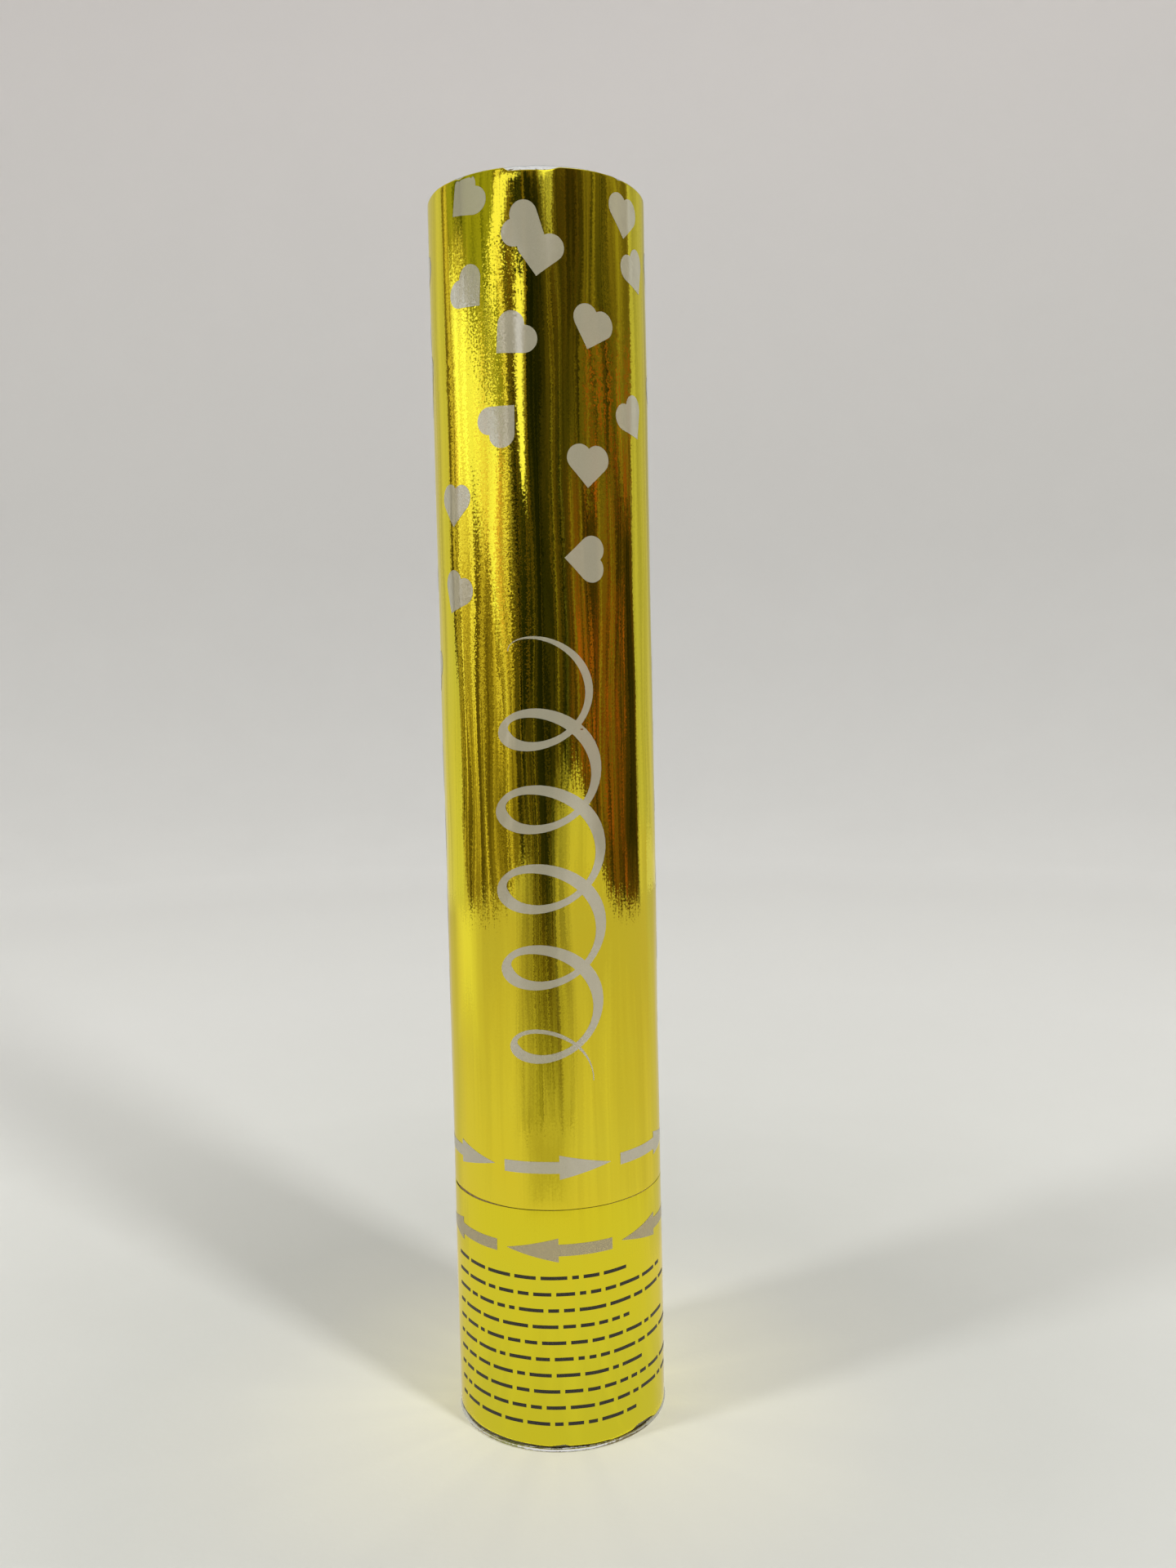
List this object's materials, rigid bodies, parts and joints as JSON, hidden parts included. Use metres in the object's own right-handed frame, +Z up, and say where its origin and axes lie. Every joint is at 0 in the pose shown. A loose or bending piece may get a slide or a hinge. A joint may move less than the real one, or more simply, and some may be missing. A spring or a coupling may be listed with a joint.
{
  "type": "confetti popper",
  "caption": "Gold foil-wrapped paper tube on a twist base; turning it cams a valve out of an air can, and the air pushes a card wad and paper confetti out of the foil-sealed mouth.",
  "frame": {"origin": "centre of the foot, on the floor", "axes": "+Z up along the tube, towards the mouth; -Y is the side seen in the picture"},
  "size_m": [0.05, 0.05, 0.285],
  "materials": {
    "gold_wrap": "mirror-bright gold metallised face, pale grey matte print",
    "silver_foil": "bright crinkled foil",
    "paper_tube": "matte brown wound paper",
    "greyboard": "matte recycled board",
    "white_plastic": "moulded, satin",
    "red_plastic": "moulded, satin",
    "natural_plastic": "smooth, waxy",
    "can_aluminium": "drawn, satin",
    "black_rubber": "matte",
    "pin_steel": "ground",
    "confetti_pink": "matte tissue paper",
    "confetti_blue": "matte tissue paper",
    "confetti_yellow": "matte tissue paper",
    "confetti_green": "matte tissue paper"
  },
  "bodies": {
    "base": {"base_tube": "paper_tube", "base_wrap": "gold_wrap", "foot_foil": "silver_foil", "foot_card": "greyboard", "can_cradle": "white_plastic", "air_can": "can_aluminium", "fill_plug": "black_rubber", "thrust_washer": "natural_plastic", "cam_collar": "red_plastic"},
    "barrel": {"barrel_tube": "paper_tube", "barrel_wrap": "gold_wrap", "mouth_foil_rim": "silver_foil", "pivot_sleeve": "paper_tube", "launch_head": "white_plastic", "neck_seal": "black_rubber"},
    "valve": {"valve_plug": "red_plastic", "plug_ring": "black_rubber", "cross_pin": "pin_steel"},
    "charge": {"wad": "greyboard", "confetti_bundle_1": "confetti_pink", "confetti_bundle_2": "confetti_blue", "confetti_bundle_3": "confetti_yellow", "confetti_bundle_4": "confetti_green", "confetti_bundle_5": "confetti_blue", "confetti_bundle_6": "confetti_yellow", "confetti_bundle_7": "confetti_green", "confetti_bundle_8": "confetti_pink", "confetti_bundle_9": "confetti_yellow", "confetti_bundle_10": "confetti_green", "confetti_bundle_11": "confetti_pink", "confetti_bundle_12": "confetti_blue", "mouth_card": "greyboard", "burst_foil": "silver_foil"}
  },
  "joints": [
    {"name": "barrel_twist", "type": "hinge", "parent": "base", "child": "barrel", "pos_m": [0, 0, 0.057], "axis": [0, 0, 1], "range_deg": [0, 120]},
    {"name": "valve_lift", "type": "slide", "parent": "barrel", "child": "valve", "axis": [0, 0, 1], "range_m": [0, 0.005]},
    {"name": "charge_launch", "type": "slide", "parent": "barrel", "child": "charge", "axis": [0, 0, 1], "range_m": [0, 0.195]}
  ],
  "couplings": [
    {"joint": "valve_lift", "follows": "barrel_twist", "m_per_rad": 0.0023873}
  ]
}
